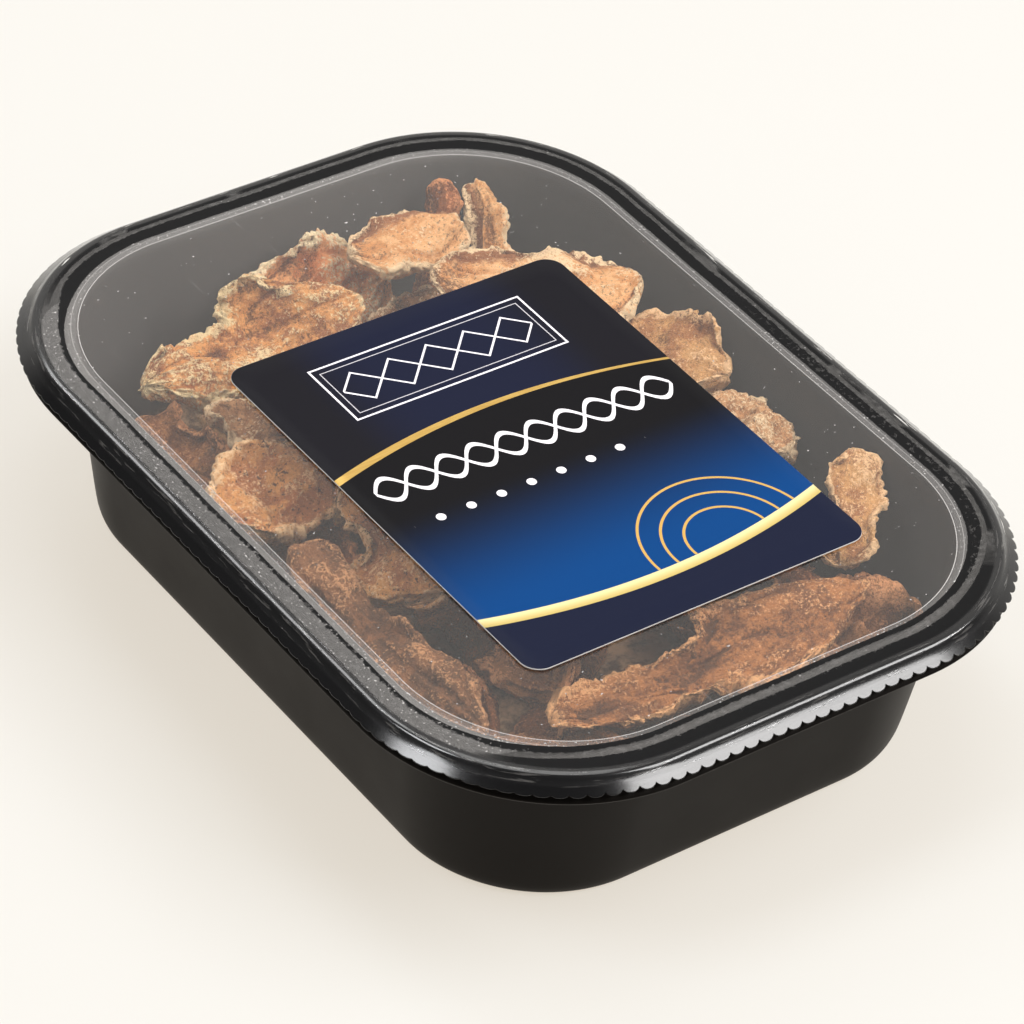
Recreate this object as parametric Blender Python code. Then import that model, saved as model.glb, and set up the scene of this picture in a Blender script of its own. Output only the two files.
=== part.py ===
"""A sealed tray pack of dried porcini slices, each piece a closed solid of its own.

Frame: X runs across the tray, Y along it and Z up. The origin is under the middle
of the base, on the surface that the tray stands on. Lengths are in metres.
"""
import math
from collections import namedtuple

import bmesh
import bpy
import numpy as np

MM = 0.001

# Rim and base of the tray, measured over the outside.
RIM_WIDTH = 143.6 * MM
RIM_LENGTH = 190.0 * MM
RIM_RADIUS = 42.9 * MM
BASE_WIDTH = 111.7 * MM
BASE_RADIUS = 29.6 * MM
FILM_TOP = 42.9 * MM

# Every ring of the tray and film is the rim's outline set in by some inset, and its
# corner radius shrinks in step, so that the base ring has the base's own radius.
BASE_INSET = (RIM_WIDTH - BASE_WIDTH) / 2
RADIUS_PER_INSET = (RIM_RADIUS - BASE_RADIUS) / BASE_INSET
CORNER_POINTS = 10

FILM_THICK = 0.35 * MM
GAP = 0.32 * MM
FLANGE_TOP = FILM_TOP - FILM_THICK - GAP
WALL = 1.0 * MM
LIP_BOTTOM = FILM_TOP - 5.4 * MM
FLANGE_INNER = 11.2 * MM
FOOT_INSET = BASE_INSET + 1.5 * MM

LABEL_WIDTH = 79.0 * MM
LABEL_LENGTH = 102.0 * MM
LABEL_CENTRE = (0.0, -10.6 * MM)
LABEL_RADIUS = 4.0 * MM
LABEL_THICK = 0.25 * MM
LABEL_POINTS = 5

# Sections along a slice and points round each section.
SECTIONS = 12
ROUND_POINTS = 12
LOW_SECTIONS = 8
LOW_ROUND_POINTS = 8
SECTION_POWER = 3.0
SPINE_STEPS = 240

# Cell of the height map that the slices are dropped on, and their clearance.
CELL = 1.0 * MM
DROP_GAP = 0.35 * MM
NUDGE_CELLS = 5
NUDGE_COST = 0.35

COLOURS = {
    "tray": ((0.012, 0.011, 0.010), 0.42, 1.0),
    "film": ((0.75, 0.75, 0.75), 0.12, 0.25),
    "label": ((0.012, 0.03, 0.10), 0.35, 1.0),
    "flesh_pale": ((0.62, 0.42, 0.22), 0.85, 1.0),
    "flesh_tan": ((0.42, 0.24, 0.10), 0.85, 1.0),
    "skin_brown": ((0.22, 0.10, 0.04), 0.75, 1.0),
}

# One slice: its shape kind, where its middle lies and how it is turned, its size,
# and how it dried: curl lifts its ends, bend turns it in its own plane, cup lifts
# its edges and twist turns one end against the other. Lengths are millimetres and
# angles degrees.
Slice = namedtuple("Slice", "kind x y yaw pitch roll length width thick curl bend cup twist seed colour")

# The slices that lie deepest, arched over the floor. The rest of the pile lies on them.
LOWER_SLICES = (
    Slice("cap", -14, 34, 80, 0, 0, 46, 32, 6.5, -115, 20, -0.15, 15, 101, "flesh_tan"),
    Slice("whole", 24, 36, 100, 0, 0, 48, 32, 6.5, -110, -10, -0.1, -15, 102, "skin_brown"),
    Slice("cap", 34, -6, 88, 0, 0, 48, 30, 6.5, -125, 15, -0.15, 12, 103, "flesh_tan"),
    Slice("cap", -8, -14, 95, 0, 0, 48, 32, 6.5, -110, 12, -0.15, 18, 104, "skin_brown"),
    Slice("whole", 26, -48, -80, 0, 0, 50, 32, 6.5, -110, 14, -0.1, 10, 105, "flesh_tan"),
    Slice("cap", -16, -56, 80, 0, 0, 44, 30, 6.5, -110, -12, -0.15, -14, 106, "flesh_tan"),
    Slice("cap", -38, 48, 60, 0, 0, 40, 22, 6.5, -100, 20, -0.1, 12, 107, "skin_brown"),
    Slice("whole", -40, 2, 95, 0, 0, 44, 22, 6.5, -95, 12, -0.1, 12, 108, "flesh_tan"),
    Slice("cap", -40, -44, 80, 0, 0, 42, 22, 6.5, -95, 15, -0.1, 12, 109, "flesh_tan"),
    Slice("cap", -6, 68, 5, 0, 0, 42, 20, 6.5, -95, -12, -0.1, 12, 110, "flesh_tan"),
    Slice("whole", 32, 66, -10, 0, 0, 42, 20, 6.5, -95, 12, -0.1, 12, 111, "skin_brown"),
    Slice("cap", 46, 18, 90, 0, 0, 38, 16, 6.5, -95, 12, -0.1, 12, 112, "flesh_tan"),
    Slice("whole", 4, 8, 30, 0, 0, 46, 28, 6.5, -70, 12, -0.1, 12, 113, "flesh_tan"),
    Slice("strip", 20, -72, 0, 0, 0, 44, 14, 6.5, -85, 12, -0.1, 12, 114, "flesh_tan"),
)

# The slices that show through the film, lowest first.
UPPER_SLICES = (
    Slice("whole", -43, 40, -80, 0, 22, 36, 24, 6.5, 20, 12, 0.1, 15, 1, "flesh_tan"),
    Slice("cap", -43, 5, -85, 0, 20, 38, 24, 6.5, 25, 20, 0.1, 15, 2, "skin_brown"),
    Slice("whole", -44, -38, -85, 0, 20, 42, 24, 6.5, 25, 12, 0.1, 20, 3, "skin_brown"),
    Slice("cap", 3, 70, 8, 0, 52, 38, 30, 7, 30, 30, 0.2, 12, 4, "flesh_tan"),
    Slice("strip", -4, -60, 8, 0, 15, 44, 18, 6.5, 25, 12, 0.1, 15, 6, "skin_brown"),
    Slice("cap", 47, 36, -70, 0, 12, 36, 20, 7, 20, 25, 0.2, 15, 7, "flesh_tan"),
    Slice("whole", 44, -30, 80, 0, 0, 40, 22, 7, 20, 12, 0.1, 15, 8, "skin_brown"),
    Slice("cap", 46, -8, 88, 0, 0, 34, 20, 6.5, 20, 15, 0.1, 12, 115, "flesh_tan"),
    Slice("lump", 41, -69, 20, 0, 10, 26, 18, 12, 20, 10, 0.1, 10, 9, "flesh_pale"),
    Slice("whole", 8, -64, 172, 0, -10, 46, 22, 6.5, 30, 12, 0.15, 15, 116, "flesh_tan"),
    Slice("whole", -35, -70, -32, 0, 6, 32, 18, 7, 12, 12, 0.15, 12, 201, "skin_brown"),
    Slice("cap", -49, 42, -75, 0, 26, 28, 16, 6, 40, 30, 0.3, 20, 10, "flesh_tan"),
    Slice("lump", -42, 19, 10, 0, 20, 28, 20, 7, 35, 15, 0.3, 20, 11, "flesh_pale"),
    Slice("whole", -35, -4, -95, 0, 20, 38, 25, 7, 35, 14, 0.25, 20, 12, "flesh_pale"),
    Slice("strip", -50, -29, -90, 0, 22, 62, 15, 6, 24, 14, 0.25, 30, 13, "skin_brown"),
    Slice("whole", -31, -38, -100, 0, 15, 38, 20, 6, 30, -12, 0.25, 20, 14, "flesh_tan"),
    Slice("lump", 52, -18, -86, 0, 8, 22, 12, 8, 25, 10, 0.2, 15, 15, "flesh_pale"),
    Slice("strip", 52, -35, -60, 0, 8, 20, 11, 6, 35, 20, 0.2, 20, 16, "flesh_tan"),
    Slice("cap", 51, 6, -75, 0, 12, 25, 17, 6.5, 30, 25, 0.3, 15, 17, "flesh_tan"),
    Slice("stem", 33, 75, 50, 52, 0, 35, 9, 7, 25, 25, 0.0, 60, 18, "skin_brown"),
    Slice("stem", 44, 68, 66, 18, 0, 25, 12, 8.5, 15, 10, 0.0, 20, 20, "flesh_pale"),
    Slice("lump", 13, 60, 15, 0, 15, 24, 14, 9, 20, 10, 0.1, 10, 26, "skin_brown"),
    Slice("lump", 26, 68, -5, 0, 8, 27, 15, 8, 20, 12, 0.15, 15, 19, "flesh_pale"),
    Slice("strip", 50, -52, 50, 12, 10, 30, 13, 6, 40, 25, 0.3, 30, 21, "flesh_tan"),
    Slice("cap", -40, 36, -60, 0, 15, 20, 11, 5, 60, 30, 0.4, 20, 22, "flesh_pale"),
    Slice("whole", -26, 52, 4, 0, 28, 56, 32, 7.5, 40, 14, 0.3, 20, 23, "flesh_tan"),
    Slice("cap", 40, 37, -34, 0, 8, 45, 24, 6, 16, 55, 0.12, -10, 24, "flesh_tan"),
    Slice("whole", -1, -68, 0, 2, 8, 76, 23, 6, 10, 12, 0.15, 16, 25, "flesh_tan"),
)


def clear_scene():
    """Remove what the scene holds, so that the script can run again."""
    for old in list(bpy.data.objects):
        bpy.data.objects.remove(old, do_unlink=True)


def material(name):
    """A Principled material from the table of colours, made once."""
    found = bpy.data.materials.get(name)
    if found:
        return found
    colour, roughness, alpha = COLOURS[name]
    made = bpy.data.materials.new(name)
    made.use_nodes = True
    shader = made.node_tree.nodes["Principled BSDF"]
    shader.inputs["Base Color"].default_value = (*colour, 1.0)
    shader.inputs["Roughness"].default_value = roughness
    shader.inputs["Metallic"].default_value = 0.0
    shader.inputs["Alpha"].default_value = alpha
    return made


def add_object(name, verts, faces, colour, sharp_angle=40.0):
    """Make a mesh object whose faces point outwards, shaded smooth up to an angle."""
    mesh = bpy.data.meshes.new(name)
    mesh.from_pydata([tuple(p) for p in verts], [], faces)
    shape = bmesh.new()
    shape.from_mesh(mesh)
    bmesh.ops.recalc_face_normals(shape, faces=shape.faces)
    shape.to_mesh(mesh)
    shape.free()
    mesh.shade_smooth()
    mesh.set_sharp_from_angle(angle=math.radians(sharp_angle))
    mesh.materials.append(material(colour))
    made = bpy.data.objects.new(name, mesh)
    bpy.context.collection.objects.link(made)
    return made


def rounded_rectangle(half_x, half_y, radius, corner_points):
    """Points round a rectangle with arc corners, anticlockwise, as an (n, 2) array."""
    points = []
    for quarter in range(4):
        side_x = (1, -1, -1, 1)[quarter]
        side_y = (1, 1, -1, -1)[quarter]
        for step in range(corner_points):
            angle = math.radians(90.0 * (quarter + step / (corner_points - 1)))
            x = side_x * (half_x - radius) + radius * math.cos(angle)
            y = side_y * (half_y - radius) + radius * math.sin(angle)
            points.append((x, y))
    return np.array(points)


def pack_ring(inset, z):
    """One ring of the tray or film: the rim's outline set in by inset, at height z."""
    outline = rounded_rectangle(
        RIM_WIDTH / 2 - inset,
        RIM_LENGTH / 2 - inset,
        RIM_RADIUS - RADIUS_PER_INSET * inset,
        CORNER_POINTS,
    )
    return np.column_stack([outline, np.full(len(outline), z)])


def loft(rings, low_centre, high_centre):
    """Join rings in order, and close the first and last with a fan to a centre point."""
    count = len(rings[0])
    verts = np.vstack([*rings, [low_centre], [high_centre]])
    first_centre = len(verts) - 2
    last_centre = len(verts) - 1
    last_start = (len(rings) - 1) * count
    faces = []
    for ring in range(len(rings) - 1):
        for i in range(count):
            j = (i + 1) % count
            a = ring * count
            b = a + count
            faces.append((a + i, a + j, b + j, b + i))
    for i in range(count):
        j = (i + 1) % count
        faces.append((j, i, first_centre))
        faces.append((last_start + i, last_start + j, last_centre))
    return verts, faces


def wall_inset(z):
    """Inset of the tapered wall's outer face at height z."""
    low = 3.0 * MM
    high = FLANGE_TOP - WALL
    share = (z - low) / (high - low)
    return (BASE_INSET - 0.3 * MM) * (1 - share) + (FLANGE_INNER - 0.7 * MM) * share


def make_tray():
    """The formed tray: foot, tapered wall, flat flange, rolled shoulder and hanging lip."""
    under = FLANGE_TOP - WALL
    outer = [
        (FOOT_INSET + 0.3 * MM, 0.0),
        (FOOT_INSET - 0.5 * MM, 0.25 * MM),
        (BASE_INSET + 0.25 * MM, 0.95 * MM),
        (BASE_INSET, 2.4 * MM),
        (wall_inset(3.0 * MM), 3.0 * MM),
        (wall_inset(under - 2.2 * MM), under - 2.2 * MM),
        (wall_inset(under) - 1.3 * MM, under),
        (3.9 * MM, under),
        (2.6 * MM, under - 0.9 * MM),
        (1.9 * MM, under - 2.2 * MM),
        (1.75 * MM, LIP_BOTTOM),
        (0.8 * MM, LIP_BOTTOM),
        (0.8 * MM, FILM_TOP - 3.7 * MM),
        (0.98 * MM, FILM_TOP - 2.6 * MM),
        (1.6 * MM, FILM_TOP - 1.75 * MM),
        (2.8 * MM, FILM_TOP - 1.1 * MM),
        (4.3 * MM, FLANGE_TOP),
    ]
    inner = [
        (FLANGE_INNER - 1.4 * MM, FLANGE_TOP),
        (FLANGE_INNER - 0.3 * MM, FLANGE_TOP - 0.45 * MM),
        (wall_inset(under - 1.0 * MM) + WALL, under - 1.0 * MM),
        (wall_inset(3.6 * MM) + WALL, 3.6 * MM),
        (BASE_INSET + 1.9 * MM, 1.7 * MM),
        (FOOT_INSET + 2.4 * MM, WALL),
    ]
    rings = [pack_ring(inset, z) for inset, z in outer + inner]
    verts, faces = loft(rings, (0.0, 0.0, 0.0), (0.0, 0.0, WALL))
    return add_object("tray", verts, faces, "tray")


def make_film():
    """The sealed clear film: flat over the flange, turned down over the shoulder."""
    top = [(10.0, 0.0), (4.0, 0.1), (2.4, 0.5), (1.0, 1.3), (0.3, 2.2), (0.0, 3.5)]
    under = [(0.35, 3.5), (0.64, 2.3), (1.27, 1.53), (2.58, 0.83), (4.05, 0.45), (10.0, 0.35)]
    rings = [pack_ring(inset * MM, FILM_TOP - drop * MM) for inset, drop in top + under]
    verts, faces = loft(rings, (0.0, 0.0, FILM_TOP), (0.0, 0.0, FILM_TOP - FILM_THICK))
    return add_object("top_film", verts, faces, "film")


def make_label():
    """The paper label that lies on the film, a thin sheet with rounded corners."""
    outline = rounded_rectangle(LABEL_WIDTH / 2, LABEL_LENGTH / 2, LABEL_RADIUS, LABEL_POINTS)
    outline = outline + np.array(LABEL_CENTRE)
    low = FILM_TOP + GAP
    high = low + LABEL_THICK
    rings = [np.column_stack([outline, np.full(len(outline), z)]) for z in (low, high)]
    verts, faces = loft(rings, (*LABEL_CENTRE, low), (*LABEL_CENTRE, high))
    return add_object("label", verts, faces, "label")


def smooth_step(value, low, high):
    """0 below low, 1 above high, and a smooth rise between."""
    share = np.clip((value - low) / (high - low), 0.0, 1.0)
    return share * share * (3 - 2 * share)


def blunt_ends(s, power):
    """1 along the middle of a slice, falling to 0 at s = 0 and s = 1 in a rounded end."""
    return np.sqrt(np.clip(1 - np.abs(2 * s - 1) ** power, 0.0, 1.0))


def width_profile(kind, s):
    """Relative width along a slice of each kind, at most about 1."""
    if kind == "whole":
        bulb = 0.14 * np.exp(-(((s - 0.1) / 0.14) ** 2))
        stem_and_cap = 0.44 + bulb + 0.56 * smooth_step(s, 0.44, 0.66)
        return blunt_ends(s, 3.2) * stem_and_cap
    if kind == "cap":
        return blunt_ends(s, 2.2)
    if kind == "strip":
        return blunt_ends(s, 6.0) * (0.8 + 0.2 * np.cos(9 * s))
    if kind == "stem":
        return blunt_ends(s, 7.0) * (0.78 + 0.22 * np.cos(5 * s))
    return blunt_ends(s, 3.0)


def waves(rng, s, v, count, along, across):
    """A sum of a few slow waves over a slice, about -1 to 1. s runs along it, v across."""
    total = np.zeros(np.broadcast(s, v).shape)
    for _ in range(count):
        frequency = rng.uniform(*along)
        slant = rng.uniform(-across, across)
        phase = rng.uniform(0, 2 * math.pi)
        total = total + np.sin(2 * math.pi * frequency * s + slant * v + phase)
    return total / count


def spine(piece):
    """Middle line of a slice with its side and up directions, at even steps of s.

    The heading turns steadily by bend in plan and by curl in height, and the line is
    the running sum of the heading. The twist rolls side and up about it.
    """
    s = np.linspace(0, 1, SPINE_STEPS + 1)
    turn = math.radians(piece.bend) * (s - 0.5)
    rise = math.radians(piece.curl) * (s - 0.5)
    roll = math.radians(piece.twist) * (s - 0.5)
    ahead = np.column_stack([np.cos(rise) * np.cos(turn), np.cos(rise) * np.sin(turn), np.sin(rise)])
    flat_side = np.column_stack([-np.sin(turn), np.cos(turn), np.zeros_like(s)])
    flat_up = np.cross(ahead, flat_side)
    side = np.cos(roll)[:, None] * flat_side + np.sin(roll)[:, None] * flat_up
    up = np.cos(roll)[:, None] * flat_up - np.sin(roll)[:, None] * flat_side
    step = piece.length * MM / SPINE_STEPS
    line = np.vstack([np.zeros(3), np.cumsum((ahead[1:] + ahead[:-1]) / 2 * step, axis=0)])
    line = line - line.mean(axis=0)
    return s, line, ahead, side, up


def along_spine(s, known_s, values):
    """Read a table of vectors, known at even steps, at any s."""
    return np.stack([np.interp(s, known_s, values[:, axis]) for axis in range(3)], axis=-1)


def slice_surface(piece, s, angle):
    """Points of a slice's skin for grids of s along it and angle round its section.

    The section is a superellipse, so faces are flat and edges blunt. Its width follows
    the kind's profile with a ragged edge. The edges cup upwards, ruffle, and on a cap
    droop back towards the stem.
    """
    rng = np.random.default_rng(piece.seed)
    power = 2 / SECTION_POWER
    v = np.sign(np.cos(angle)) * np.abs(np.cos(angle)) ** power
    h = np.sign(np.sin(angle)) * np.abs(np.sin(angle)) ** power
    ragged = 1 + 0.14 * waves(rng, s, np.sign(v), 3, (1.2, 3.2), 2.5)
    uneven = 1 + 0.18 * waves(rng, s, v, 3, (0.8, 2.4), 2.0)
    ruffle = waves(rng, s, v, 3, (0.6, 2.0), 2.2)
    half_width = piece.width * MM / 2 * width_profile(piece.kind, s) * ragged
    half_thick = piece.thick * MM / 2 * blunt_ends(s, 5.0) * uneven
    across = half_width * v
    lift = half_thick * h + piece.cup * half_width * v * v
    lift = lift + 0.35 * piece.thick * MM * ruffle * blunt_ends(s, 2.0)
    droop = 0.0
    if piece.kind == "whole":
        droop = -0.16 * piece.length * MM * v * v * smooth_step(s, 0.42, 0.7)
    known_s, line, ahead, side, up = spine(piece)
    points = along_spine(s, known_s, line)
    points = points + along_spine(s, known_s, side) * across[..., None]
    points = points + along_spine(s, known_s, up) * lift[..., None]
    return points + along_spine(s, known_s, ahead) * np.broadcast_to(droop, s.shape)[..., None]


def turned(piece, points):
    """Turn points by the slice's roll, then its pitch, then its yaw, and centre them."""
    yaw, pitch, roll = (math.radians(a) for a in (piece.yaw, piece.pitch, piece.roll))
    about_x = np.array([[1, 0, 0], [0, math.cos(roll), -math.sin(roll)], [0, math.sin(roll), math.cos(roll)]])
    about_y = np.array([[math.cos(pitch), 0, -math.sin(pitch)], [0, 1, 0], [math.sin(pitch), 0, math.cos(pitch)]])
    about_z = np.array([[math.cos(yaw), -math.sin(yaw), 0], [math.sin(yaw), math.cos(yaw), 0], [0, 0, 1]])
    matrix = about_z @ about_y @ about_x
    return points @ matrix.T + np.array([piece.x * MM, piece.y * MM, 0.0])


def slice_mesh(piece, sections, round_points):
    """Rings of a slice between a point at each end, as vertices and faces."""
    inner = (1 - np.cos(math.pi * np.arange(1, sections) / sections)) / 2
    angles = 2 * math.pi * np.arange(round_points) / round_points
    s, angle = np.meshgrid(inner, angles, indexing="ij")
    rings = turned(piece, slice_surface(piece, s, angle))
    ends = np.array([[0.0], [1.0]])
    tips = turned(piece, slice_surface(piece, ends, np.zeros_like(ends)))[:, 0]
    return loft(list(rings), tips[0], tips[1])


def triangles(faces):
    """Split faces into triangles by their first corner."""
    split = []
    for face in faces:
        for k in range(1, len(face) - 1):
            split.append((face[0], face[k], face[k + 1]))
    return split


class HeightMap:
    """Heights over the tray's plan, on a grid of cells, for letting slices down."""

    def __init__(self):
        self.x = np.arange(-RIM_WIDTH / 2, RIM_WIDTH / 2 + CELL, CELL)
        self.y = np.arange(-RIM_LENGTH / 2, RIM_LENGTH / 2 + CELL, CELL)
        self.height = self.tray_inside()

    def tray_inside(self):
        """Floor height inside the tray, and the wall's inner face around it."""
        x, y = np.meshgrid(np.abs(self.x), np.abs(self.y), indexing="ij")
        height = np.full(x.shape, FILM_TOP)
        for z in np.linspace(FLANGE_TOP, WALL, 80):
            inset = wall_inset(max(z, 3.0 * MM)) + WALL
            radius = RIM_RADIUS - RADIUS_PER_INSET * inset
            to_x = np.maximum(x - (RIM_WIDTH / 2 - inset - radius), 0)
            to_y = np.maximum(y - (RIM_LENGTH / 2 - inset - radius), 0)
            height[np.hypot(to_x, to_y) < radius] = z
        return height

    def raster(self, verts, faces):
        """Lowest and highest height of a mesh over each cell that it covers."""
        low = np.full(self.height.shape, np.inf)
        high = np.full(self.height.shape, -np.inf)
        columns = (verts[:, 0] - self.x[0]) / CELL
        rows = (verts[:, 1] - self.y[0]) / CELL
        for i, j, z in zip(np.rint(columns).astype(int), np.rint(rows).astype(int), verts[:, 2]):
            low[i, j] = min(low[i, j], z)
            high[i, j] = max(high[i, j], z)
        for a, b, c in triangles(faces):
            corner = np.array([[columns[k], rows[k]] for k in (a, b, c)])
            edge_b = corner[1] - corner[0]
            edge_c = corner[2] - corner[0]
            area = edge_b[0] * edge_c[1] - edge_b[1] * edge_c[0]
            if abs(area) < 1e-6:
                continue
            first = np.ceil(corner.min(axis=0)).astype(int)
            last = np.floor(corner.max(axis=0)).astype(int)
            if (last < first).any():
                continue
            i, j = np.meshgrid(np.arange(first[0], last[0] + 1), np.arange(first[1], last[1] + 1), indexing="ij")
            off_x = i - corner[0, 0]
            off_y = j - corner[0, 1]
            share_b = (off_x * edge_c[1] - off_y * edge_c[0]) / area
            share_c = (edge_b[0] * off_y - edge_b[1] * off_x) / area
            inside = (share_b >= -1e-9) & (share_c >= -1e-9) & (share_b + share_c <= 1 + 1e-9)
            z = verts[a, 2] + share_b * (verts[b, 2] - verts[a, 2]) + share_c * (verts[c, 2] - verts[a, 2])
            here = i[inside], j[inside]
            low[here] = np.minimum(low[here], z[inside])
            high[here] = np.maximum(high[here], z[inside])
        return low, high

    def spread(self, field):
        """Each cell takes the highest value of itself and its eight neighbours."""
        padded = np.pad(field, 1, constant_values=-np.inf)
        width, length = field.shape
        around = [padded[i:i + width, j:j + length] for i in range(3) for j in range(3)]
        return np.max(around, axis=0)

    def let_down(self, verts, faces):
        """Move that rests a mesh on the pile: of the nudges near its place, the one
        that lets it sink lowest, a nudge costing a share of its length in height."""
        low, high = self.raster(verts, faces)
        covered_i, covered_j = np.nonzero(np.isfinite(low))
        lowest = low[covered_i, covered_j]
        top = self.spread(self.height)
        best = None
        for step_x in range(-NUDGE_CELLS, NUDGE_CELLS + 1):
            for step_y in range(-NUDGE_CELLS, NUDGE_CELLS + 1):
                rest = np.max(top[covered_i + step_x, covered_j + step_y] - lowest) + DROP_GAP
                cost = rest + NUDGE_COST * math.hypot(step_x, step_y) * CELL
                if best is None or cost < best[0]:
                    best = (cost, step_x, step_y, rest)
        _, step_x, step_y, rest = best
        here = covered_i + step_x, covered_j + step_y
        self.height[here] = np.maximum(self.height[here], high[covered_i, covered_j] + rest)
        return np.array([step_x * CELL, step_y * CELL, rest])


NAMES = {
    "whole": "porcini_whole_slice",
    "cap": "porcini_cap_slice",
    "strip": "porcini_strip",
    "stem": "porcini_stem",
    "lump": "porcini_chunk",
}


def make_slices():
    """Let every slice down on the pile in turn, the lower ones first."""
    pile = HeightMap()
    groups = (
        (LOWER_SLICES, LOW_SECTIONS, LOW_ROUND_POINTS),
        (UPPER_SLICES, SECTIONS, ROUND_POINTS),
    )
    number = 0
    for pieces, sections, round_points in groups:
        for piece in pieces:
            number += 1
            verts, faces = slice_mesh(piece, sections, round_points)
            verts = verts + pile.let_down(verts, faces)
            add_object(f"{NAMES[piece.kind]}_{number:02d}", verts, faces, piece.colour, 60.0)


clear_scene()
make_tray()
make_slices()
make_film()
make_label()
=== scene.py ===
import math
from collections import namedtuple

import bpy
import numpy as np
from mathutils import Matrix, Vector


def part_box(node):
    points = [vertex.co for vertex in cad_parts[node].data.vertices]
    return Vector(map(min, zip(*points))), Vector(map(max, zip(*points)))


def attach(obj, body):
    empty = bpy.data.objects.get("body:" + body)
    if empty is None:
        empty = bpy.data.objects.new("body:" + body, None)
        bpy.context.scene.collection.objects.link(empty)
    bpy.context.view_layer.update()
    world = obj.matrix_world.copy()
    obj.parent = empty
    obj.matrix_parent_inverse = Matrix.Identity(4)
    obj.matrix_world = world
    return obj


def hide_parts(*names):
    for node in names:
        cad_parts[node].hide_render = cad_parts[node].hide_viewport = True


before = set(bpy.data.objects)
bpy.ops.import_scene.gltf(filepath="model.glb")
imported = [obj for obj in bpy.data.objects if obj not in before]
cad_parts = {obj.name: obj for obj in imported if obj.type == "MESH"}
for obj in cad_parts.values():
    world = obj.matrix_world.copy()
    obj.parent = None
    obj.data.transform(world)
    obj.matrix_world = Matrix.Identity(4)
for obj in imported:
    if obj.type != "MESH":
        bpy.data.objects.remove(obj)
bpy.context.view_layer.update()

# The studio. A camera stands where the photograph was taken, over a pale floor, among
# a broad soft box on the right, a smaller one on the left, a strip behind and one
# overhead. The room glows all round, but glossy surfaces mirror it only from behind.
MM = 0.001
FRAME_PIXELS = 1024
FOCAL_PIXELS = 4707
SENSOR_WIDTH = 36.0
CAMERA_AZIMUTH = math.radians(-39.707)
CAMERA_ELEVATION = math.radians(38.944)
CAMERA_ROLL = math.radians(6.152)
CAMERA_DISTANCE = 0.9178
CAMERA_OFFSET = (2.136 * MM, -0.068 * MM)
AIM = np.array([0.0, 0.0, 21.45 * MM])
FLOOR_SIZE = 6.0
FLOOR_DROP = 0.05 * MM
GLOW_BEHIND = math.radians(140)
GLOW_DIMMED = 0.88
GLOW_COLOUR = (0.64, 0.622, 0.594, 1)
FLOOR_COLOURS = (0.204, 0.227, 0.250, 1), (0.208, 0.231, 0.254, 1)
FLOOR_GLOW = (0.617, 0.551, 0.460, 1)


def srgb(red, green, blue):
    """Linear colour of a display colour given in 0 to 255."""
    share = np.array([red, green, blue]) / 255
    linear = np.where(share <= 0.04045, share / 12.92, ((share + 0.055) / 1.055) ** 2.4)
    return (*linear.tolist(), 1.0)


def direction(azimuth, elevation):
    """Unit vector from the object towards a viewer, azimuth 0 being on the -Y side."""
    level = math.cos(elevation)
    return np.array([math.sin(azimuth) * level, -math.cos(azimuth) * level, math.sin(elevation)])


def facing(back, roll=0.0):
    """Right and up directions for something that looks along -back, turned by roll."""
    right = np.cross([0.0, 0.0, 1.0], back)
    right = right / np.linalg.norm(right)
    up = np.cross(back, right)
    return (math.cos(roll) * right + math.sin(roll) * up,
            math.cos(roll) * up - math.sin(roll) * right)


def stand(made, place, back, roll=0.0):
    """Put a camera or lamp at a place, looking along -back."""
    right, up = facing(back, roll)
    columns = np.column_stack([right, up, back, place])
    made.matrix_world = Matrix([*columns.tolist(), [0, 0, 0, 1]])
    bpy.context.scene.collection.objects.link(made)


lens = bpy.data.cameras.new("camera")
lens.sensor_width = SENSOR_WIDTH
lens.lens = SENSOR_WIDTH * FOCAL_PIXELS / FRAME_PIXELS
lens.clip_start = 0.01
camera = bpy.data.objects.new("camera", lens)
camera_back = direction(CAMERA_AZIMUTH, CAMERA_ELEVATION)
camera_right, camera_up = facing(camera_back, CAMERA_ROLL)
camera_place = (AIM + camera_back * CAMERA_DISTANCE
                + camera_right * CAMERA_OFFSET[0] + camera_up * CAMERA_OFFSET[1])
stand(camera, camera_place, camera_back, CAMERA_ROLL)
bpy.context.scene.camera = camera

# Each soft box: azimuth and elevation in degrees, distance, width and height in
# metres, power in watts and its colour.
SOFT_BOXES = {
    "right": (46, 49, 1.3, 1.0, 0.46, 14.5, (1.0, 0.985, 0.975)),
    "left": (-107, 57, 1.3, 0.46, 0.35, 5.2, (0.98, 0.985, 1.0)),
    "strip": (178, 52, 1.3, 0.3, 0.5, 2.8, (1.0, 1.0, 1.0)),
    "overhead": (150, 79, 1.5, 0.8, 0.8, 6.0, (1.0, 0.99, 0.97)),
}
for name, (azimuth, elevation, distance, width, height, power, tint) in SOFT_BOXES.items():
    lamp = bpy.data.lights.new(name, "AREA")
    lamp.shape = "RECTANGLE"
    lamp.size = width
    lamp.size_y = height
    lamp.energy = power
    lamp.color = tint
    back = direction(math.radians(azimuth), math.radians(elevation))
    stand(bpy.data.objects.new(name, lamp), back * distance, back)


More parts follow.
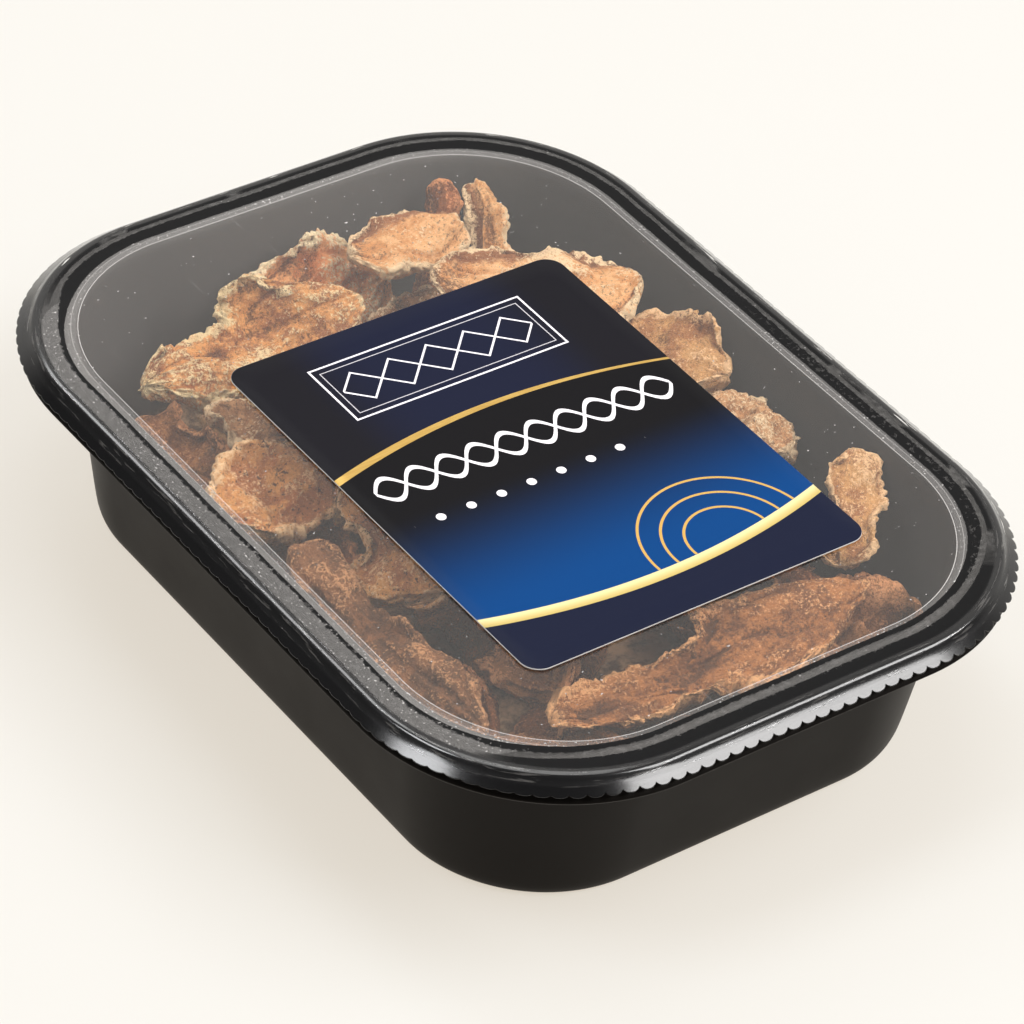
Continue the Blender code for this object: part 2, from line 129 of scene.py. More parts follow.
class Wire:
    """One output of a shader node. Sums, products and powers of wires add Math nodes."""

    def __init__(self, tree, socket):
        self.tree = tree
        self.socket = socket

    def node(self, kind, settings, values, output=0):
        """Any node: its settings first, then the number, colour or wire of each socket."""
        made = self.tree.nodes.new(kind)
        for key, value in settings.items():
            setattr(made, key, value)
        for key, value in values.items():
            if isinstance(value, Wire):
                self.tree.links.new(value.socket, made.inputs[key])
            else:
                made.inputs[key].default_value = value
        return Wire(self.tree, made.outputs[output])

    def maths(self, operation, *values):
        """A Math node on the given values."""
        return self.node("ShaderNodeMath", {"operation": operation}, dict(enumerate(values)))

    def __add__(self, other):
        return self.maths("ADD", self, other)

    def __sub__(self, other):
        return self.maths("SUBTRACT", self, other)

    def __rsub__(self, other):
        return self.maths("SUBTRACT", other, self)

    def __mul__(self, other):
        return self.maths("MULTIPLY", self, other)

    def __pow__(self, other):
        return self.maths("POWER", self, other)

    def __abs__(self):
        return self.maths("ABSOLUTE", self)

    __radd__ = __add__
    __rmul__ = __mul__

    def at_least(self, other):
        return self.maths("MAXIMUM", self, other)

    def at_most(self, other):
        return self.maths("MINIMUM", self, other)

    def rise(self, low, high):
        """0 below low, 1 above high, and a smooth rise between."""
        return self.node("ShaderNodeMapRange", {"interpolation_type": "SMOOTHSTEP"},
                         {"Value": self, "From Min": low, "From Max": high})

    def band(self, low, high, soft):
        """1 between low and high, 0 outside, over soft edges."""
        return self.rise(low - soft, low + soft) * (1 - self.rise(high - soft, high + soft))

    def blend(self, first, second):
        """Colour that goes from first to second as this wire goes from 0 to 1."""
        return self.node("ShaderNodeMix", {"data_type": "RGBA"}, {0: self, 6: first, 7: second}, 2)

    def fold(self, half):
        """This wire folded back and forth between 0 and half."""
        return self.maths("PINGPONG", self, half)

    def noise(self, size, detail=2.0, roughness=0.5):
        """Cloudy noise of a size in millimetres, read at this wire's place in metres."""
        return self.node("ShaderNodeTexNoise", {}, {
            "Vector": self, "Scale": 1 / (size * MM), "Detail": detail, "Roughness": roughness})

    def stretched(self, scale, turn=0.0):
        """This place scaled by a factor for each axis, then turned about Z."""
        return self.node("ShaderNodeMapping", {}, {0: self, 2: (0, 0, turn), 3: scale})

    def stored(self, name):
        """The number that give() stored under a name at each point of the piece."""
        return self.node("ShaderNodeAttribute", {"attribute_name": name}, {}, "Fac")

    def axes(self):
        """The three parts of a vector, as wires in millimetres."""
        split = self.tree.nodes.new("ShaderNodeSeparateXYZ")
        self.tree.links.new(self.socket, split.inputs[0])
        return [Wire(self.tree, socket) * (1 / MM) for socket in split.outputs]


def new_finish(name):
    """An empty material, and a wire on its Object coordinates."""
    made = bpy.data.materials.new(name)
    made.use_nodes = True
    tree = made.node_tree
    tree.nodes.clear()
    place = Wire(tree, None).node("ShaderNodeTexCoord", {}, {}, "Object")
    return made, place


def surface(made, shader):
    """Make a shader what the material shows."""
    output = made.node_tree.nodes.new("ShaderNodeOutputMaterial")
    made.node_tree.links.new(shader.socket, output.inputs["Surface"])


def bump(height, strength, depth):
    """Normal bent by a height wire, whose full swing is depth millimetres."""
    return height.node("ShaderNodeBump", {}, {
        "Height": height, "Strength": strength, "Distance": depth * MM})


def add_piece(name, points, faces, finish, replaces):
    """A mesh piece from points in millimetres that stands for a node of the frame.

    The faces are quads and triangles as arrays. They are turned round together if
    the volume that they close comes out negative, so that they point outwards.
    """
    points = np.asarray(points) * MM
    volume = 0.0
    for group in faces:
        corner = points[group]
        for k in range(1, group.shape[1] - 1):
            volume += np.einsum("ij,ij->", corner[:, 0], np.cross(corner[:, k], corner[:, k + 1]))
    if volume < 0:
        faces = [group[:, ::-1] for group in faces]
    mesh = bpy.data.meshes.new(name)
    mesh.from_pydata(points.tolist(), [], [face for group in faces for face in group.tolist()])
    mesh.shade_smooth()
    mesh.materials.append(finish)
    made = bpy.data.objects.new(name, mesh)
    bpy.context.scene.collection.objects.link(made)
    if replaces:
        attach(made, "root")
        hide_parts(replaces)
    return made


def give(made, name, values):
    """Store one number for each of a piece's points, for its material to read."""
    made.data.attributes.new(name, "FLOAT", "POINT").data.foreach_set("value", np.ravel(values))


floor_half = FLOOR_SIZE / MM / 2
floor_corners = [(x * floor_half, y * floor_half, -FLOOR_DROP / MM)
                 for x, y in ((-1, -1), (1, -1), (1, 1), (-1, 1))]
floor_finish, place = new_finish("pale_floor")
cloud = place.noise(400, 2.0)
surface(floor_finish, place.node("ShaderNodeBsdfPrincipled", {}, {
    "Base Color": cloud.blend(*FLOOR_COLOURS), "Roughness": 0.9, "Specular IOR Level": 0.1,
    "Emission Color": FLOOR_GLOW, "Emission Strength": 1.0}))
add_piece("floor", floor_corners, [np.array([[0, 1, 2, 3]])], floor_finish, None)

world = bpy.data.worlds.new("studio")
world.use_nodes = True
bpy.context.scene.world = world
sky = Wire(world.node_tree, None)
world.node_tree.nodes.clear()
seen = sky.node("ShaderNodeLightPath", {}, {}, "Is Camera Ray")
mirrored = sky.node("ShaderNodeLightPath", {}, {}, "Is Glossy Ray")
behind = sky.node("ShaderNodeVectorMath", {"operation": "DOT_PRODUCT"}, {
    0: sky.node("ShaderNodeTexCoord", {}, {}, "Generated"), 1: tuple(direction(GLOW_BEHIND, 0))}, "Value")
glow = sky.node("ShaderNodeBackground", {}, {
    "Color": GLOW_COLOUR, "Strength": 1 - mirrored * GLOW_DIMMED * (1 - behind.rise(0.25, 0.65))})
backdrop = sky.node("ShaderNodeBackground", {}, {"Color": srgb(254, 250, 243), "Strength": 1.0})
shown = sky.node("ShaderNodeMixShader", {}, {0: seen, 1: glow, 2: backdrop})
sky_output = world.node_tree.nodes.new("ShaderNodeOutputWorld")
world.node_tree.links.new(shown.socket, sky_output.inputs["Surface"])
bpy.context.scene.view_settings.view_transform = "Standard"
bpy.context.scene.cycles.use_denoising = True

# The tray. Black polypropylene sheet, drawn down by vacuum into a tapered tub with
# a flat flange, whose edge is rolled over a shoulder and hangs as a short lip. The
# slices have left a pale dust on its inside and brown crumbs on its floor. The dust
# carries painted light, lighter towards the far end and darker on the right, and a
# painted highlight runs along the lip's lower edge.
RIM_WIDTH = 143.6
RIM_LENGTH = 190.0
RIM_RADIUS = 42.9
BASE_RADIUS = 29.6
BASE_INSET = 15.95
RADIUS_PER_INSET = (RIM_RADIUS - BASE_RADIUS) / BASE_INSET
FILM_TOP = 42.9
FLANGE_TOP = 42.23
FLANGE_INNER = 11.2
FOOT_INSET = BASE_INSET + 1.5
FOOT_TOP = 3.0
WALL = 1.0
LIP_BOTTOM = FILM_TOP - 5.4
UNDER = FLANGE_TOP - WALL
RECESS_UNDER = 0.6
RECESS_TOP = RECESS_UNDER + WALL
TRAY_POINTS = 320
SOFT_ROUNDS = 2


def outline_frame(count):
    """Where points spaced evenly round the rim lie, for rings of any inset.

    A rounded rectangle is a corner-centre box swept by a circle. Each point has its
    place on that box, from -1 to 1 each way, and the direction of the circle there.
    The third value is how far round the rim the point lies, in millimetres.
    """
    side_x = RIM_WIDTH - 2 * RIM_RADIUS
    side_y = RIM_LENGTH - 2 * RIM_RADIUS
    arc = RIM_RADIUS * math.pi / 2
    lengths = np.array([side_y, arc, side_x, arc] * 2)
    ends = np.concatenate([[0], np.cumsum(lengths)])
    run = ends[-1] * np.arange(count) / count
    leg = np.searchsorted(ends, run, side="right") - 1
    share = (run - ends[leg]) / lengths[leg]
    quarter = (leg + 1) // 2
    angle = np.pi / 2 * (quarter - (leg % 2) * (1 - share))
    corner_x = np.array([1, 1, -1, -1, 1])
    corner_y = np.array([-1, 1, 1, -1, -1])
    here = leg // 2 + leg % 2
    box_x = corner_x[here].astype(float)
    box_y = corner_y[here].astype(float)
    for side, (box, start) in enumerate(((box_y, -1), (box_x, 1), (box_y, 1), (box_x, -1))):
        on_side = leg == 2 * side
        box[on_side] = start * (1 - 2 * share[on_side])
    return np.column_stack([box_x, box_y]), np.column_stack([np.cos(angle), np.sin(angle)]), run


def pack_rings(inset, height, box, circle):
    """Rings of the pack, from each ring's inset from the rim and height, which may vary round it."""
    radius = RIM_RADIUS - RADIUS_PER_INSET * inset
    x = (RIM_WIDTH / 2 - inset - radius) * box[:, 0] + radius * circle[:, 0]
    y = (RIM_LENGTH / 2 - inset - radius) * box[:, 1] + radius * circle[:, 1]
    return np.stack(np.broadcast_arrays(x, y, height), axis=-1)


def softened(profile, rounds):
    """A profile with its corners cut: each run keeps the points at a quarter and three quarters."""
    profile = np.array(profile, float)
    for _ in range(rounds):
        near = 0.75 * profile[:-1] + 0.25 * profile[1:]
        far = 0.25 * profile[:-1] + 0.75 * profile[1:]
        middle = np.stack([near, far], axis=1).reshape(-1, profile.shape[1])
        profile = np.vstack([profile[:1], middle, profile[-1:]])
    return profile


def loft(rings, first_centre, last_centre):
    """Points and faces of rings joined in order, with a fan to a centre at each end."""
    levels, count, _ = rings.shape
    points = np.vstack([rings.reshape(-1, 3), [first_centre], [last_centre]])
    around = np.arange(count)
    after = (around + 1) % count
    start = count * np.arange(levels - 1)[:, None]
    quads = np.stack([start + around, start + after,
                      start + count + after, start + count + around], axis=-1)
    last = count * (levels - 1)
    low_fan = np.column_stack([after, around, np.full(count, len(points) - 2)])
    high_fan = np.column_stack([last + around, last + after, np.full(count, len(points) - 1)])
    return points, [quads.reshape(-1, 4), np.vstack([low_fan, high_fan])]


def wall_inset(z):
    """Inset of the tapered wall's outer face at height z."""
    low = BASE_INSET - 0.3
    high = FLANGE_INNER - 0.7
    return low + (high - low) * (z - FOOT_TOP) / (UNDER - FOOT_TOP)


# Inset and height of each corner of the tray's profile: from the middle of its base up
# the outer face to the flange, then down the inner face to the middle of the floor.
tray_outside = [
    (34.0, RECESS_UNDER), (31.4, RECESS_UNDER), (30.2, 0.0), (26.0, 0.0), (FOOT_INSET + 0.3, 0.0),
    (FOOT_INSET - 0.7, 0.15), (BASE_INSET + 0.2, 1.1), (wall_inset(FOOT_TOP), FOOT_TOP),
    (wall_inset(14.0), 14.0), (wall_inset(27.0), 27.0), (wall_inset(UNDER - 2.2), UNDER - 2.2),
    (wall_inset(UNDER) - 1.3, UNDER), (5.2, UNDER), (3.8, UNDER - 0.2), (3.2, UNDER - 1.2),
    (2.75, UNDER - 2.6), (2.1, LIP_BOTTOM + 0.9), (1.75, LIP_BOTTOM), (1.1, LIP_BOTTOM),
    (1.05, LIP_BOTTOM + 0.45), (1.9, FILM_TOP - 4.1), (2.3, FILM_TOP - 2.7),
    (2.65, FILM_TOP - 1.8), (3.3, FILM_TOP - 1.05), (4.6, FLANGE_TOP), (7.5, FLANGE_TOP),
]
tray_inside = [
    (FLANGE_INNER - 1.1, FLANGE_TOP), (FLANGE_INNER - 0.2, FLANGE_TOP - 0.35),
    (wall_inset(UNDER - 1.2) + WALL, UNDER - 1.2), (wall_inset(28.0) + WALL, 28.0),
    (wall_inset(15.0) + WALL, 15.0), (wall_inset(3.8) + WALL, 3.8), (BASE_INSET + 1.9, 1.9),
    (FOOT_INSET + 2.4, 1.1), (26.0, 1.05), (30.6, 1.05), (31.8, RECESS_TOP), (34.0, RECESS_TOP),
]
tray_box, tray_circle, _ = outline_frame(TRAY_POINTS)
tray_profile = softened(tray_outside + tray_inside, SOFT_ROUNDS)
points, faces = loft(pack_rings(*tray_profile.T[..., None], tray_box, tray_circle),
                     (0, 0, RECESS_UNDER), (0, 0, RECESS_TOP))

tray_finish, place = new_finish("black_sheet")
x, y, z = place.axes()
grain = place.noise(0.35, 2.0, 0.6)
cloud = place.noise(14, 3.0, 0.55)
inside = place.stored("inside")
# Painted light: the dust is lighter towards the far end and darker on the right, for how light falls inside
# the tray. It is also darker towards the floor.
painted_light_across_tray = (1 - 0.62 * x.rise(25, 60)) * (1 + 0.45 * y.rise(40, 90))
speckle = 0.97 + 0.06 * place.noise(1.1, 3.0, 0.7)
dust_and_painted_light = inside * (0.6 + 0.4 * z.rise(2, 16)) * painted_light_across_tray * (0.65 + 0.6 * cloud) * speckle
crumbs = place.noise(5, 5.0, 0.7).rise(0.38, 0.62).blend((0.14, 0.07, 0.034, 1), (0.62, 0.37, 0.2, 1))
littered = inside * (1 - (z + 5 * cloud).rise(4.5, 9))
colour = dust_and_painted_light.at_most(1.0).blend((0.004, 0.0034, 0.003, 1), (0.085, 0.08, 0.077, 1))
colour = littered.blend(colour, crumbs)
# Painted highlight: a thin lighter line along the lower edge of the lip, on the outside.
cut = z.band(LIP_BOTTOM - 0.2, LIP_BOTTOM + 0.16, 0.05) * (1 - inside)
colour = (cut * (0.5 + 0.5 * grain)).blend(colour, (0.17, 0.16, 0.15, 1))
texture = (grain + 0.8 * cloud) * (1 - 0.9 * inside) + 40 * littered * place.noise(2.2, 3.0, 0.6)
surface(tray_finish, place.node("ShaderNodeBsdfPrincipled", {}, {
    "Base Color": colour, "Roughness": 0.38 + 0.12 * cloud + 0.12 * inside,
    "Specular IOR Level": 0.11, "Specular Tint": (1, 0.9, 0.82, 1),
    "Normal": bump(texture, 0.25, 0.015)}))
tray = add_piece("formed_tray", points, faces, tray_finish, "tray")
levels_per_corner = 2 ** SOFT_ROUNDS
inner_start = 1 + levels_per_corner * (len(tray_outside) - 1)
level = np.repeat(np.arange(len(tray_profile)), TRAY_POINTS)
give(tray, "inside", np.append(np.clip((level - inner_start) / levels_per_corner, 0, 1), [0, 1]))

# The porcini. Caps and stems sliced lengthwise and dried until they curl, shrink and
# turn leathery; the cut flesh is pale and crumbly, and the skin is brown and tight.
# The pile lies loose in the tray, the deep slices arched over its floor.
SECTION_POWER = 3.0
SPINE_STEPS = 240
LOW_GRID = (8, 8)
TOP_GRID = (12, 12)
LOWER_COUNT = 14
MIDDLE = (15, 16, 17, 20, 21, 22, 24)
LOWER_SPACING, MIDDLE_SPACING, UPPER_SPACING = 1.0, 0.55, 0.4
RIM_THINNING = 0.5
GRIT_TABLE = 4096
NAMES = {"whole": "porcini_whole_slice", "cap": "porcini_cap_slice", "strip": "porcini_strip",
         "stem": "porcini_stem", "lump": "porcini_chunk"}

# One slice: its shape, its middle and how it is turned, its size in millimetres, and
# how it dried. Curl lifts its ends, bend turns it in its own plane, cup lifts its
# edges and twist turns one end against the other. The last word is its finish.
Slice = namedtuple("Slice", "kind x y yaw pitch roll length width thick curl bend cup twist seed finish")
SLICES = [
    Slice("cap", -14, 34, 80, 0, 0, 46, 32, 6.5, -115, 20, -0.15, 15, 101, "tan"),
    Slice("whole", 24, 36, 100, 0, 0, 48, 32, 6.5, -110, -10, -0.1, -15, 102, "brown"),
    Slice("cap", 34, -6, 88, 0, 0, 48, 30, 6.5, -125, 15, -0.15, 12, 103, "tan"),
    Slice("cap", -8, -14, 95, 0, 0, 48, 32, 6.5, -110, 12, -0.15, 18, 104, "brown"),
    Slice("whole", 26, -48, -80, 0, 0, 50, 32, 6.5, -110, 14, -0.1, 10, 105, "brown"),
    Slice("cap", -16, -56, 80, 0, 0, 44, 30, 6.5, -110, -12, -0.15, -14, 106, "brown"),
    Slice("cap", -38, 48, 60, 0, 0, 40, 22, 6.5, -100, 20, -0.1, 12, 107, "brown"),
    Slice("whole", -40, 2, 95, 0, 0, 44, 22, 6.5, -95, 12, -0.1, 12, 108, "tan"),
    Slice("cap", -40, -44, 80, 0, 0, 42, 22, 6.5, -95, 15, -0.1, 12, 109, "brown"),
    Slice("cap", -6, 68, 5, 0, 0, 42, 20, 6.5, -95, -12, -0.1, 12, 110, "tan"),
    Slice("whole", 32, 66, -10, 0, 0, 42, 20, 6.5, -95, 12, -0.1, 12, 111, "brown"),
    Slice("cap", 46, 18, 90, 0, 0, 38, 16, 6.5, -95, 12, -0.1, 12, 112, "tan"),
    Slice("whole", 4, 8, 30, 0, 0, 46, 28, 6.5, -70, 12, -0.1, 12, 113, "tan"),
    Slice("strip", 20, -72, 0, 0, 0, 44, 14, 6.5, -85, 12, -0.1, 12, 114, "brown"),
    Slice("whole", -43, 40, -80, 0, 22, 36, 24, 6.5, 20, 12, 0.1, 15, 1, "brown"),
    Slice("cap", -43, 5, -85, 0, 20, 38, 24, 6.5, 25, 20, 0.1, 15, 2, "brown"),
    Slice("whole", -44, -38, -85, 0, 20, 42, 24, 6.5, 25, 12, 0.1, 20, 3, "brown"),
    Slice("cap", 3, 70, 8, 0, 52, 38, 30, 7, 30, 30, 0.2, 12, 4, "rust_lightened"),
    Slice("strip", -4, -60, 8, 0, 15, 44, 18, 6.5, 25, 12, 0.1, 15, 6, "brown"),
    Slice("cap", 47, 36, -70, 0, 12, 36, 20, 7, 20, 25, 0.2, 15, 7, "tan"),
    Slice("whole", 44, -30, 80, 0, 0, 40, 22, 7, 20, 12, 0.1, 15, 8, "brown"),
    Slice("cap", 46, -8, 88, 0, 0, 34, 20, 6.5, 20, 15, 0.1, 12, 115, "tan"),
    Slice("lump", 41, -69, 20, 0, 10, 26, 18, 12, 20, 10, 0.1, 10, 9, "dull"),
    Slice("whole", 8, -64, 172, 0, -10, 46, 22, 6.5, 30, 12, 0.15, 15, 116, "dull"),
    Slice("whole", -35, -70, -32, 0, 6, 32, 18, 7, 12, 12, 0.15, 12, 201, "dull"),
    Slice("cap", -49, 42, -75, 0, 26, 28, 16, 6, 40, 30, 0.3, 20, 10, "dull"),
    Slice("lump", -42, 19, 10, 0, 20, 28, 20, 7, 35, 15, 0.3, 20, 11, "pored"),
    Slice("whole", -35, -4, -95, 0, 20, 38, 25, 7, 35, 14, 0.25, 20, 12, "pored"),
    Slice("strip", -50, -29, -90, 0, 22, 62, 15, 6, 24, 14, 0.25, 30, 13, "skin"),
    Slice("whole", -31, -38, -100, 0, 15, 38, 20, 6, 30, -12, 0.25, 20, 14, "dull"),
    Slice("lump", 52, -18, -86, 0, 8, 22, 12, 8, 25, 10, 0.2, 15, 15, "crumb"),
    Slice("strip", 52, -35, -60, 0, 8, 20, 11, 6, 35, 20, 0.2, 20, 16, "crumb"),
    Slice("cap", 51, 6, -75, 0, 12, 25, 17, 6.5, 30, 25, 0.3, 15, 17, "tan"),
    Slice("stem", 33, 75, 50, 52, 0, 35, 9, 7, 25, 25, 0.0, 60, 18, "brown"),
    Slice("stem", 44, 68, 66, 18, 0, 25, 12, 8.5, 15, 10, 0.0, 20, 20, "pale"),
    Slice("lump", 13, 60, 15, 0, 15, 24, 14, 9, 20, 10, 0.1, 10, 26, "crumb"),
    Slice("lump", 26, 68, -5, 0, 8, 27, 15, 8, 20, 12, 0.15, 15, 19, "pale"),
    Slice("strip", 50, -52, 50, 12, 10, 30, 13, 6, 40, 25, 0.3, 30, 21, "tan"),
    Slice("cap", -40, 36, -60, 0, 15, 20, 11, 5, 60, 30, 0.4, 20, 22, "crumb"),
    Slice("whole", -26, 52, 4, 0, 28, 56, 32, 7.5, 40, 14, 0.3, 20, 23, "slab"),
    Slice("cap", 40, 37, -34, 0, 8, 45, 24, 6, 16, 55, 0.12, -10, 24, "pale"),
    Slice("whole", -1, -68, 0, 2, 8, 76, 23, 6, 10, 12, 0.15, 16, 25, "long"),
]


def smooth_step(value, low, high):
    """0 below low, 1 above high, and a smooth rise between."""
    share = np.clip((value - low) / (high - low), 0.0, 1.0)
    return share * share * (3 - 2 * share)


def blunt_ends(s, power):
    """1 along the middle of a slice, falling to 0 at s = 0 and s = 1 in a rounded end."""
    return np.sqrt(np.clip(1 - np.abs(2 * s - 1) ** power, 0.0, 1.0))


def width_profile(kind, s):
    """Relative width along a slice of each kind, at most about 1."""
    if kind == "whole":
        bulb = 0.14 * np.exp(-(((s - 0.1) / 0.14) ** 2))
        return blunt_ends(s, 3.2) * (0.44 + bulb + 0.56 * smooth_step(s, 0.44, 0.66))
    if kind == "cap":
        return blunt_ends(s, 2.2)
    if kind == "strip":
        return blunt_ends(s, 6.0) * (0.8 + 0.2 * np.cos(9 * s))
    if kind == "stem":
        return blunt_ends(s, 7.0) * (0.78 + 0.22 * np.cos(5 * s))
    return blunt_ends(s, 3.0)


def waves(rng, s, v, count, along, across):
    """A sum of a few slow waves over a slice, about -1 to 1. s runs along it, v across."""
    total = np.zeros(np.broadcast(s, v).shape)
    for _ in range(count):
        frequency = rng.uniform(*along)
        slant = rng.uniform(-across, across)
        phase = rng.uniform(0, 2 * math.pi)
        total = total + np.sin(2 * math.pi * frequency * s + slant * v + phase)
    return total / count


def spine(piece):
    """Middle line of a slice with its ahead, side and up directions, at even steps of s.

    The heading turns steadily by bend in plan and by curl in height, and the line is
    the running sum of the heading. The twist rolls side and up about it.
    """
    s = np.linspace(0, 1, SPINE_STEPS + 1)
    turn = math.radians(piece.bend) * (s - 0.5)
    rise = math.radians(piece.curl) * (s - 0.5)
    roll = math.radians(piece.twist) * (s - 0.5)
    ahead = np.column_stack([np.cos(rise) * np.cos(turn), np.cos(rise) * np.sin(turn), np.sin(rise)])
    flat_side = np.column_stack([-np.sin(turn), np.cos(turn), np.zeros_like(s)])
    flat_up = np.cross(ahead, flat_side)
    side = np.cos(roll)[:, None] * flat_side + np.sin(roll)[:, None] * flat_up
    up = np.cos(roll)[:, None] * flat_up - np.sin(roll)[:, None] * flat_side
    step = piece.length / SPINE_STEPS
    line = np.vstack([np.zeros(3), np.cumsum((ahead[1:] + ahead[:-1]) / 2 * step, axis=0)])
    return s, (line - line.mean(axis=0), side, up, ahead)


def slice_surface(piece, s, angle, thinning=0.0):
    """Points of a slice's skin for grids of s along it and angle round its section.

    The section is a superellipse, so faces are flat and edges blunt. Its width follows
    the kind's profile with a ragged edge. The edges cup upwards, ruffle, and on a cap
    droop back towards the stem. Thinning is the share by which the rims are thinner
    than the middle. Also gives v across the slice, h through it and its up direction.
    """
    rng = np.random.default_rng(piece.seed)
    power = 2 / SECTION_POWER
    v = np.sign(np.cos(angle)) * np.abs(np.cos(angle)) ** power
    h = np.sign(np.sin(angle)) * np.abs(np.sin(angle)) ** power
    ragged = 1 + 0.14 * waves(rng, s, np.sign(v), 3, (1.2, 3.2), 2.5)
    uneven = 1 + 0.18 * waves(rng, s, v, 3, (0.8, 2.4), 2.0)
    ruffle = waves(rng, s, v, 3, (0.6, 2.0), 2.2)
    half_width = piece.width / 2 * width_profile(piece.kind, s) * ragged
    half_thick = piece.thick / 2 * blunt_ends(s, 5.0) * uneven
    half_thick = half_thick * (1 - thinning * smooth_step(np.abs(v), 0.25, 1.0))
    lift = half_thick * h + piece.cup * half_width * v * v
    lift = lift + 0.35 * piece.thick * ruffle * blunt_ends(s, 2.0)
    droop = np.zeros_like(lift)
    if piece.kind == "whole":
        droop = -0.16 * piece.length * v * v * smooth_step(s, 0.42, 0.7)
    known_s, tables = spine(piece)
    line, side, up, ahead = (
        np.stack([np.interp(s, known_s, table[:, axis]) for axis in range(3)], axis=-1) for table in tables)
    across = (half_width * v)[..., None]
    return line + side * across + up * lift[..., None] + ahead * droop[..., None], v, h, up


def turned(piece, points):
    """Turn points by the slice's roll, then its pitch, then its yaw, and centre them."""
    yaw, pitch, roll = (math.radians(a) for a in (piece.yaw, piece.pitch, piece.roll))
    about_x = np.array([[1, 0, 0],
                        [0, math.cos(roll), -math.sin(roll)],
                        [0, math.sin(roll), math.cos(roll)]])
    about_y = np.array([[math.cos(pitch), 0, -math.sin(pitch)],
                        [0, 1, 0],
                        [math.sin(pitch), 0, math.cos(pitch)]])
    about_z = np.array([[math.cos(yaw), -math.sin(yaw), 0],
                        [math.sin(yaw), math.cos(yaw), 0],
                        [0, 0, 1]])
    return points @ (about_z @ about_y @ about_x).T + np.array([piece.x, piece.y, 0.0])


def lowest_corner(piece, sections, round_points):
    """Lowest corner of the box round the frame's own coarse version of a slice."""
    inner = (1 - np.cos(math.pi * np.arange(1, sections) / sections)) / 2
    angles = 2 * math.pi * np.arange(round_points) / round_points
    s, angle = np.meshgrid(inner, angles, indexing="ij")
    ends = np.array([[0.0], [1.0]])
    rings = turned(piece, slice_surface(piece, s, angle)[0])
    tips = turned(piece, slice_surface(piece, ends, np.zeros_like(ends))[0])
    return np.vstack([rings.reshape(-1, 3), tips.reshape(-1, 3)]).min(axis=0)


def even_angles(count, width, thick):
    """Angles that space points evenly round a section of the given width and thickness."""
    angle = np.linspace(0, 2 * math.pi, 2001)
    power = 2 / SECTION_POWER
    v = np.sign(np.cos(angle)) * np.abs(np.cos(angle)) ** power * width
    h = np.sign(np.sin(angle)) * np.abs(np.sin(angle)) ** power * thick
    run = np.concatenate([[0], np.cumsum(np.hypot(np.diff(v), np.diff(h)))])
    return np.interp(run[-1] * np.arange(count) / count, run, angle)


def grit(points, size, seed):
    """Smooth random bumps, -1 to 1.

    Random numbers at the corners of cubes of a size are blended between the corners by
    an S-curve each way. The large odd factors pick a number from each corner's place.
    """
    table = np.random.default_rng(seed).uniform(-1, 1, GRIT_TABLE)
    scaled = points / size + 500
    cell = np.floor(scaled).astype(np.int64)
    share = scaled - cell
    share = share * share * (3 - 2 * share)
    total = np.zeros(points.shape[:-1])
    for corner in range(8):
        step = np.array([corner & 1, corner >> 1 & 1, corner >> 2])
        i, j, k = np.moveaxis(cell + step, -1, 0)
        weight = np.prod(np.where(step, share, 1 - share), axis=-1)
        total += table[(i * 73856093 ^ j * 19349663 ^ k * 83492791) & (GRIT_TABLE - 1)] * weight
    return total


def outward(grid):
    """Unit normals of a grid of points that closes round its second axis."""
    along = np.gradient(grid, axis=0)
    around = np.roll(grid, -1, axis=1) - np.roll(grid, 1, axis=1)
    normal = np.cross(around, along)
    return normal / np.maximum(np.linalg.norm(normal, axis=-1, keepdims=True), 1e-9)


